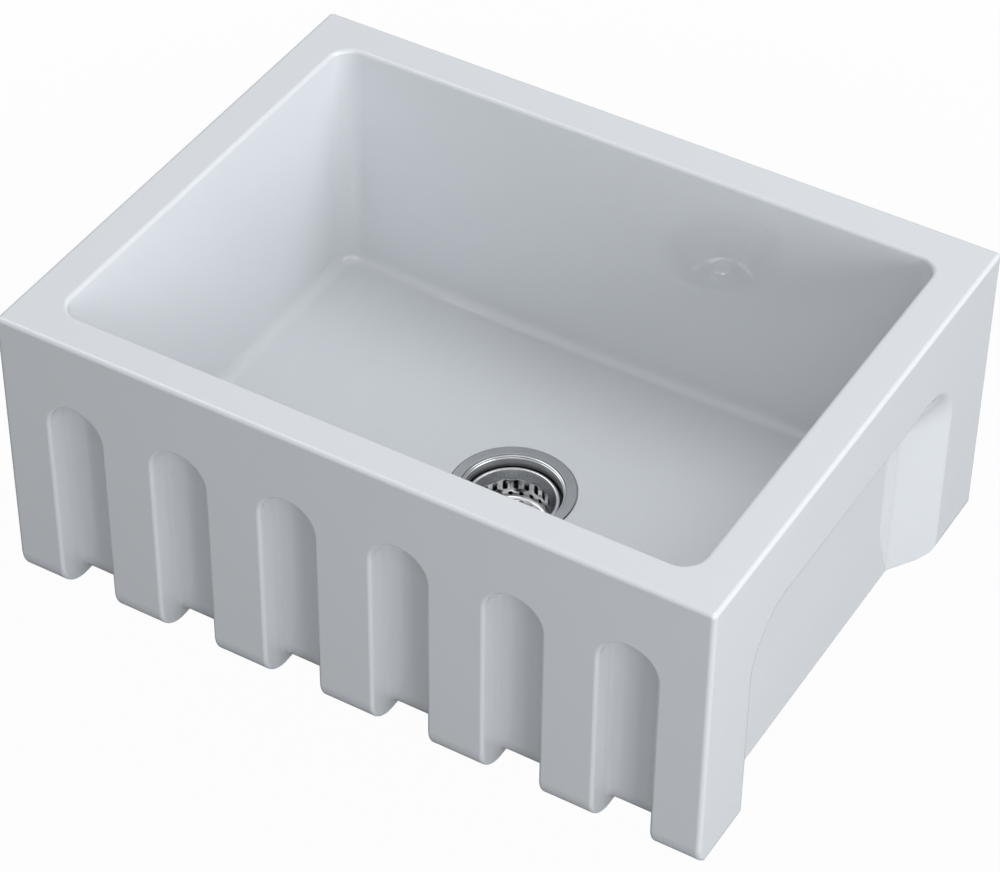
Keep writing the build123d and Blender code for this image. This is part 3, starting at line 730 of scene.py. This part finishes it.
# %% A hole and its tile
def rounded_slot(width, height, across, along):
    """Points round a slot with half-round ends: (across, along) in millimetres, anticlockwise from a corner.

    Each short side takes the middle quarter turn of an end. Each long side takes an eighth turn, the straight
    and another eighth turn, evenly by length. With height equal to width that is a circle."""
    r = width / 2
    straight = (height - width) / 2
    half = straight + r * math.pi / 4
    q = np.linspace(-half, half, along + 1)[:-1]
    bend = np.clip(np.abs(q) - straight, 0.0, None) / r
    up = np.sign(q) * (np.minimum(np.abs(q), straight) + r * np.sin(bend))
    side = np.column_stack([r * np.cos(bend), up])
    angle = np.linspace(math.pi / 4, 3 * math.pi / 4, across + 1)[:-1]
    end = np.column_stack([r * np.cos(angle), straight + r * np.sin(angle)])
    return np.vstack([side, end, -side, -end])


def tile_border(across, along):
    """Points round a tile from -1 to 1 each way, in the same order as the slot's."""
    side = np.column_stack([np.ones(along), np.linspace(-1, 1, along + 1)[:-1]])
    end = np.column_stack([np.linspace(1, -1, across + 1)[:-1], np.ones(across)])
    return np.vstack([side, end, -side, -end])


# %% One row of holes
def holed_row(count, first_turn, low, high, centre, width, height, along):
    """A row of count tiles between two lengths of the path, each with a slot at the centre length.

    A point is (angle, length). Rings go from the slot to the border in even shares. The slot's angles are its
    distances across divided by the radius at its length, which keeps the hole round where the sheet turns."""
    across = basket_columns // count
    slot = rounded_slot(width, height, across, along)
    slot_length = centre + slot[:, 1]
    slot_angle = slot[:, 0] / sheet_radius(slot_length)
    border = tile_border(across, along)
    border_length = (low + high) / 2 + border[:, 1] * (high - low) / 2
    border_angle = border[:, 0] * math.pi / count
    share = np.array([0.0, 0.12, 0.45, 1.0])[:, None]
    angle = slot_angle * (1 - share) + border_angle * share
    length = slot_length * (1 - share) + border_length * share
    tile_turn = (np.arange(count) + first_turn) * 2 * math.pi / count
    angle = angle[None] + tile_turn[:, None, None]
    length = np.broadcast_to(length, angle.shape)
    tile = grid_faces(len(share), len(border), False)
    faces = tile[None] + (np.arange(count) * len(share) * len(border))[:, None, None]
    return angle, length, faces.reshape(-1, 4)


def plain_row(low, high, rows):
    """A plain band of the sheet between two lengths of the path."""
    length, angle = np.meshgrid(np.linspace(low, high, rows + 1), even_angles(basket_columns), indexing="ij")
    return angle, length, grid_faces(rows + 1, basket_columns, False)


# %% Join the rows, and give the sheet its thickness
sheet_thickness = 0.8 * mm
worn_edge = 0.12 * mm
slot_low = length_at_height(24.1)
slot_high = length_at_height(11.9)
slot_middle = length_at_height(18.0)
hole_middle = length_at_height(8.6)
hole_high = hole_middle + (hole_middle - slot_high)
floor_outer = length_at_radius(25.75)
floor_middle = length_at_radius(19.25)
floor_inner = length_at_radius(12.75)
basket_rows = [
    plain_row(0.0, slot_low, 26),
    holed_row(22, 0.0, slot_low, slot_high, slot_middle, 4.2, 10.0, 16),
    holed_row(22, 0.5, slot_high, hole_high, hole_middle, 4.0, 4.0, 10),
    plain_row(hole_high, floor_outer, 4),
    holed_row(16, 0.0, floor_outer, floor_middle, length_at_radius(22.5), 4.4, 4.4, 10),
    holed_row(11, 0.0, floor_middle, floor_inner, length_at_radius(16.0), 4.4, 4.4, 10),
    plain_row(floor_inner, path_length[-1], 5),
]
basket_points = []
basket_faces = []
for row_angle, row_length, row_faces in basket_rows:
    basket_faces.append(row_faces + sum(len(points) for points in basket_points))
    row_points = round_the_drain(sheet_radius(row_length), sheet_height(row_length), row_angle)
    basket_points.append(row_points.reshape(-1, 3))
basket_piece = make_piece("basket_pressing", np.vstack(basket_points), np.vstack(basket_faces), 60.0)
thickness = basket_piece.modifiers.new("sheet_thickness", "SOLIDIFY")
thickness.thickness = sheet_thickness
thickness.offset = 0.0
thickness.use_even_offset = True
edges = basket_piece.modifiers.new("worn_edges", "BEVEL")
edges.width = worn_edge
edges.segments = 2
edges.limit_method = "ANGLE"
edges.angle_limit = math.radians(50)
edges.harden_normals = True
dress(basket_piece, "basket", basket_finish)

# %% [markdown]
# ## Knob and stopper
# A finger knob lifts the basket. It is waisted so that a wet finger and thumb hold it, and its edge is softly
# fluted. Under the basket the rubber stopper hangs on the same stem between a pressed cup and a washer. Its
# underside has a hollow ring, which leaves a soft lip to seal round the outlet.

# %% Turn the knob and the stopper's discs
grip_flutes = 30
grip_wave = 0.12


def fluted_edge(radius, height, angle):
    """The knob's widest band swells and shrinks by grip_wave, grip_flutes times round."""
    band = smooth_step(height, 16.6, 17.2) * smooth_step(height, 19.2, 18.6) * (radius > 7.0)
    return radius - band * grip_wave * (1 + np.cos(grip_flutes * angle))


knob_outline = outline(
    (0.0, 17.3, 0.0), (3.02, 17.3, 0.0), (3.02, 12.6, 0.2), (5.0, 12.6, 0.6), (4.9, 15.2, 1.4),
    (8.0, 16.5, 0.9), (8.0, 19.3, 0.9), (6.3, 20.5, 1.6), (4.6, 20.45, 0.8), (3.6, 20.1, 1.0),
    (0.0, 20.0, 0.0),
)
knob_piece = turned("finger_knob", refined(knob_outline, 16.4, 19.4, 0.4), even_angles(240), fluted_edge)
dress(knob_piece, "knob", knob_finish)

stopper_outline = outline(
    (2.02, -6.2, 0.0), (14.0, -6.2, 0.5), (15.0, -5.4, 0.5), (20.6, -5.4, 0.6), (21.6, -6.2, 0.5),
    (24.2, -6.2, 0.8), (25.2, -5.0, 0.8), (25.2, -2.6, 0.8), (24.2, -1.6, 0.6), (2.02, -1.6, 0.0),
)
stopper_piece = turned("stopper_disc", stopper_outline, even_angles(160))
dress(stopper_piece, "stopper", rubber_finish)

stopper_cup_outline = outline((2.02, -1.6, 0.0), (22.2, -1.6, 0.25), (22.2, -0.8, 0.35), (2.02, -0.8, 0.0))
stopper_cup_piece = turned("stopper_backing", stopper_cup_outline, even_angles(144))
dress(stopper_cup_piece, "stopper_cup", small_steel_finish)

stopper_washer_outline = outline((2.02, -7.2, 0.1), (12.0, -7.2, 0.35), (12.0, -6.2, 0.2), (2.02, -6.2, 0.0))
stopper_washer_piece = turned("stopper_clamp_washer", stopper_washer_outline, even_angles(96))
dress(stopper_washer_piece, "stopper_washer", small_steel_finish)

# %% [markdown]
# ## The stem and its nut
# The stem is one turned pin: a smooth post above, and a thinner threaded neck below that carries the stopper,
# its nut and the spring clip. The nut is a small brass hexagon. A hexagon's radius is its flats' distance
# divided by the cosine of the angle from the nearest flat's middle, and its chamfer is a cone that cuts the
# corners: the smaller of the two radii wins at each point.

# %% Turn the stem and cut its nut
def soft_least(first, second, sharpness):
    """Nearly the smaller of two lengths, with the edge between them rounded: (a^-p + b^-p)^(-1/p)."""
    return (first ** -sharpness + second ** -sharpness) ** (-1.0 / sharpness)


def hexagon_radius(flats, angle):
    """Distance to a hexagon's side: flats / cos(angle from the nearest side's middle, the first at 30)."""
    sixth = math.pi / 3
    return flats / np.cos(angle % sixth - sixth / 2)


neck_thread_pitch = 0.7
neck_thread_depth = 0.22


def stem_rule(radius, height, angle):
    """The neck's thread is cut into it below the stopper's nut."""
    on_neck = (radius > 1.9) & (radius < 2.05) & (height < -10.4) & (height > -23.6)
    return radius - on_neck * neck_thread_depth * (1 - thread_ridge(height, angle, neck_thread_pitch))


stem_outline = outline(
    (0.0, -24.2, 0.0), (1.6, -24.2, 0.1), (2.0, -23.8, 0.1), (2.0, -0.8, 0.0), (3.0, -0.8, 0.15),
    (3.0, 17.3, 0.2), (0.0, 17.3, 0.0),
)
stem_piece = turned("stem_pin", refined(stem_outline, -23.7, -10.3, 0.1), even_angles(48), stem_rule)
dress(stem_piece, "stem", small_steel_finish)


stem_nut_flats = 4.0
stem_nut_corners = 4.45
stem_nut_chamfer = 0.55


def stem_nut_rule(radius, height, angle):
    """A hexagon 8 mm across, chamfered at both ends."""
    at_ends = 1 - smooth_step(height, -10.2, -9.6) + smooth_step(height, -7.8, -7.2)
    cone = stem_nut_corners - stem_nut_chamfer * at_ends
    outside = soft_least(hexagon_radius(stem_nut_flats, angle), cone, 70.0)
    return np.where(radius > 3.0, outside, radius)


stem_nut_outline = outline((2.02, -10.2, 0.1), (4.0, -10.2, 0.15), (4.0, -7.2, 0.15), (2.02, -7.2, 0.1))
stem_nut_outline = refined(stem_nut_outline, -10.1, -7.3, 0.15)
stem_nut_piece = turned("stem_clamp_nut", stem_nut_outline, even_angles(144), stem_nut_rule)
dress(stem_nut_piece, "stem_nut", brass_finish)

# %% [markdown]
# ## Seals and rings under the flange
# A clamped seal bulges a little between the faces that hold it, so its free edges are rounded, and the
# gasket's outside has a shallow groove left by its mould. The fibre ring is stamped, so its edges are nearly
# square.

# %% Turn the seals
seal_outline = outline(
    (45.4, 37.3, 0.0), (50.6, 37.3, 0.0), (50.45, 38.05, 0.5), (50.6, 38.8, 0.0), (45.4, 38.8, 0.0),
    (45.6, 38.05, 0.5),
)
seal_piece = turned("flange_seal_ring", seal_outline, even_angles(144))
dress(seal_piece, "flange_seal", foam_finish)

gasket_outline = outline(
    (40.0, 9.0, 0.5), (58.0, 9.0, 0.7), (58.0, 10.2, 0.2), (57.6, 10.5, 0.2), (58.0, 10.8, 0.2),
    (58.0, 12.0, 0.7), (40.0, 12.0, 0.5),
)
gasket_piece = turned("clamp_gasket_ring", gasket_outline, even_angles(160))
dress(gasket_piece, "clamp_gasket", rubber_finish)

friction_outline = outline((39.9, 8.0, 0.1), (56.0, 8.0, 0.2), (56.0, 9.0, 0.2), (39.9, 9.0, 0.1))
friction_piece = turned("friction_disc", friction_outline, even_angles(160))
dress(friction_piece, "friction_ring", fibre_finish)

tail_washer_outline = outline(
    (19.05, -39.6, 0.2), (23.2, -39.6, 0.3), (23.2, -38.0, 0.3), (19.05, -38.0, 0.2),
)
tail_washer_piece = turned("tail_seal", tail_washer_outline, even_angles(96))
dress(tail_washer_piece, "tailpiece_washer", nylon_finish)

# %% [markdown]
# ## The lock nut
# The big nut has a flat flange that bears on the fibre ring and six lugs for a spanner or a tapped
# screwdriver. Below the flange its radius steps out at each lug. The columns of the grid crowd together at
# the lugs' sides, where the radius changes fast.

# %% Cast the lock nut
lug_half_width = 5.1
lug_side = 0.75
lug_reach = 8.0
lug_draft = 0.4
sector = np.concatenate([
    np.linspace(-30.0, -7.5, 8), np.linspace(-6.6, -3.6, 13), np.linspace(-2.4, 2.4, 5),
    np.linspace(3.6, 6.6, 13), np.linspace(7.5, 26.8, 7),
])
lug_angles = np.radians((np.arange(6)[:, None] * 60.0 + sector[None]).ravel())


def lug_rule(radius, height, angle):
    """The nut's outside below its flange: 46 mm, and lug_reach more at a lug in each sixth of a turn.

    Widths round the nut are in degrees. The draft narrows the lugs towards their lower ends, as in a
    mould."""
    from_lug = np.abs((np.degrees(angle) + 30.0) % 60.0 - 30.0)
    rise = smooth_step(from_lug, lug_half_width + lug_side, lug_half_width - lug_side)
    draft = lug_draft * smooth_step(height, 1.0, -4.0)
    is_side = (radius > 43.0) & (radius < 50.0) & (height < 5.6)
    return np.where(is_side, radius + rise * (lug_reach - draft), radius)


lock_nut_outline = outline(
    (39.46, -4.0, 0.5), (46.0, -4.0, 0.9), (46.0, 5.5, 0.3), (56.0, 5.5, 0.4), (56.0, 8.0, 0.4),
    (39.46, 8.0, 0.5),
)
lock_nut_piece = turned("lock_nut_casting", refined(lock_nut_outline, -3.0, 5.3, 1.2), lug_angles, lug_rule)
dress(lock_nut_piece, "lock_nut", zinc_finish)

# %% [markdown]
# ## Tailpiece and coupling nut
# The tailpiece is thin chromed tube with a turned-out flange, and the nut draws that flange up against the
# outlet. The nut is a large hexagon with its corners turned off, so its chamfer draws an arc on each flat.

# %% Draw the tube and cut the nut
tail_outline = outline(
    (18.05, -39.6, 1.4), (23.2, -39.6, 0.3), (23.2, -40.8, 0.5), (19.05, -40.8, 0.6), (19.05, -139.6, 0.4),
    (18.05, -139.6, 0.4),
)
tail_piece = turned("tail_tube", refined(tail_outline, -139.0, -42.0, 6.0), even_angles(144))
dress(tail_piece, "tailpiece", tube_finish)


nut_bottom = -44.5
nut_top = -20.7
nut_flats = 27.5
nut_corners = 30.4
nut_chamfer = 2.04


def coupling_rule(radius, height, angle):
    """A hexagon 55 mm across its flats, cut by a cone at each end and by a cylinder at its corners."""
    from_end = np.minimum(height - nut_bottom, nut_top - height)
    cone = nut_corners - nut_chamfer * (1 - smooth_step(from_end, -1.6, 1.6))
    outside = soft_least(hexagon_radius(nut_flats, angle), cone, 90.0)
    return np.where(radius > 26.0, radius - nut_flats + outside, radius)


coupling_outline = outline(
    (20.05, nut_bottom, 0.4), (nut_flats, nut_bottom, 0.5), (nut_flats, nut_top, 0.5), (23.96, nut_top, 0.4),
    (23.96, -40.8, 0.3), (20.05, -40.8, 0.3),
)
coupling_outline = refined(coupling_outline, -44.2, -21.0, 0.5)
coupling_piece = turned("coupling_nut_body", coupling_outline, even_angles(180), coupling_rule)
dress(coupling_piece, "coupling_nut", nut_finish)

# %% [markdown]
# ## Pieces that keep their CAD shape
# The basin is exact as it is: its mesh carries the true normals of every face and fillet, so it gets only its
# glaze. The same goes for the cast outlet with its spokes, the bush and its grip ring, the small ring in the
# bush and the split clip.

# %% Finish the CAD nodes
cad_finishes = {
    "basin": glaze_finish,
    "outlet_spud": brass_finish,
    "basket_bush": nylon_finish,
    "bush_ring": small_steel_finish,
    "stem_o_ring": rubber_finish,
    "stem_clip": small_steel_finish,
}
for node, finish in cad_finishes.items():
    nodes[node].material_slots[0].material = finish
print("CAD nodes shown:", sorted(cad_finishes))

# %% [markdown]
# ## Floor and surroundings
# The photograph is a product shot on pure white. A plain floor and world would come out grey, or would need
# so much light that the sink burns out. So what the camera sees, directly or in a reflection, is told apart
# from what lights the sink: to the camera and in mirrors the world is white at strength 1, and to diffuse
# light it is a soft cool sky. The floor is nearly all white glow to the camera, with a share of plain paint
# that takes the sink's shadow. In mirrors it is plain grey paint, which darkens the glaze where the apron's
# feet curve under. It is clear from below, so that the underside can be looked at.

# %% A white room
def seen_rays(root):
    """1 for camera, mirror and glass rays, and 0 for diffuse light."""
    seen = root.node("ShaderNodeLightPath", output="Is Camera Ray")
    for kind in ("Is Glossy Ray", "Is Transmission Ray"):
        seen = seen.math("MAXIMUM", seen, root.node("ShaderNodeLightPath", output=kind))
    return seen


sky_strength = 0.35
white_strength = 1.0
pure_white = colour(1.0, 1.0, 1.0)
world = bpy.data.worlds.new("white_room")
bpy.context.scene.world = world
world.use_nodes = True
world.node_tree.nodes.clear()
root = Wire(world.node_tree, None)
sky = root.node("ShaderNodeBackground", None, {"Color": colour(0.93, 0.96, 1.0), "Strength": sky_strength})
white = root.node("ShaderNodeBackground", None, {"Color": pure_white, "Strength": white_strength})
both = root.node("ShaderNodeMixShader", None, {0: seen_rays(root), 1: sky, 2: white})
root.node("ShaderNodeOutputWorld", None, {"Surface": both})
print("World:", world.name)

# %% A white floor
floor_gap = 0.3 * mm
floor_half = 6.0
floor_grey = 0.26
glow_near = 0.975
floor_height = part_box("tailpiece")[0][2] - floor_gap
floor_mesh = bpy.data.meshes.new("floor")
corners = [(x * floor_half, y * floor_half, floor_height) for x, y in ((-1, -1), (1, -1), (1, 1), (-1, 1))]
floor_mesh.from_pydata(corners, [], [(0, 1, 2, 3)])
floor = bpy.data.objects.new("floor", floor_mesh)
bpy.context.scene.collection.objects.link(floor)

paint = Finish("floor_paint")
glow = paint.root.node("ShaderNodeEmission", None, {"Color": pure_white, "Strength": white_strength})
matt = paint.root.node("ShaderNodeBsdfDiffuse", None, {"Color": colour(floor_grey, floor_grey, floor_grey)})
glow_share = glow_near + (1.0 - glow_near) * paint.step(paint.radius, 0.5, 1.6)
to_camera = paint.root.node("ShaderNodeMixShader", None, {0: glow_share, 1: matt, 2: glow})
camera_rays = paint.root.node("ShaderNodeLightPath", output="Is Camera Ray")
from_above = paint.root.node("ShaderNodeMixShader", None, {0: camera_rays, 1: matt, 2: to_camera})
clear = paint.root.node("ShaderNodeBsdfTransparent")
below = paint.root.node("ShaderNodeNewGeometry", output="Backfacing")
floor_shader = paint.root.node("ShaderNodeMixShader", None, {0: below, 1: from_above, 2: clear})
paint.root.node("ShaderNodeOutputMaterial", None, {"Surface": floor_shader})
floor.data.materials.append(paint.material)
print("Floor at", round(floor_height / mm, 1), "mm")

# %% [markdown]
# ## Lamps
# In the photograph the light is soft and comes from the right: the rim, the right side and the wall that
# faces right are brightest, the apron is in half shade with bright flute walls, and the back wall fades
# towards the corner that the right wall shades. A low key lamp and a right lamp give that, and the others
# fill it. Their strengths were found by rendering each lamp alone and solving for the greys of the
# photograph.

# %% Hang the lamps
lamp_distance = 4.5
lamp_size = 2.1
lamp_colour = (0.955, 0.98, 1.0)
sink_middle = Vector((0.0, 0.0, 0.13))


def hang_lamp(name, azimuth, elevation, watts):
    """A square area lamp that looks at the sink's middle from an azimuth, 0 in front and 90 on the right."""
    lamp_data = bpy.data.lights.new(name, "AREA")
    lamp_data.shape = "SQUARE"
    lamp_data.size = lamp_size
    lamp_data.energy = watts
    lamp_data.color = lamp_colour
    lamp = bpy.data.objects.new(name, lamp_data)
    bpy.context.scene.collection.objects.link(lamp)
    turn = camera_turn(math.radians(azimuth), math.radians(elevation), 0.0)
    lamp.matrix_world = Matrix.Translation(sink_middle + turn.col[2] * lamp_distance) @ turn.to_4x4()
    return lamp


lamps = [
    hang_lamp("key_lamp", 60, 12, 77.0),
    hang_lamp("right_lamp", 92, 20, 63.0),
    hang_lamp("top_lamp", 125, 60, 55.0),
    hang_lamp("rear_lamp", 248, 55, 28.0),
    hang_lamp("front_lamp", 22, 40, 29.0),
]
bpy.context.scene.view_settings.view_transform = "Standard"
print("Lamps:", {lamp.name: lamp.data.energy for lamp in lamps})
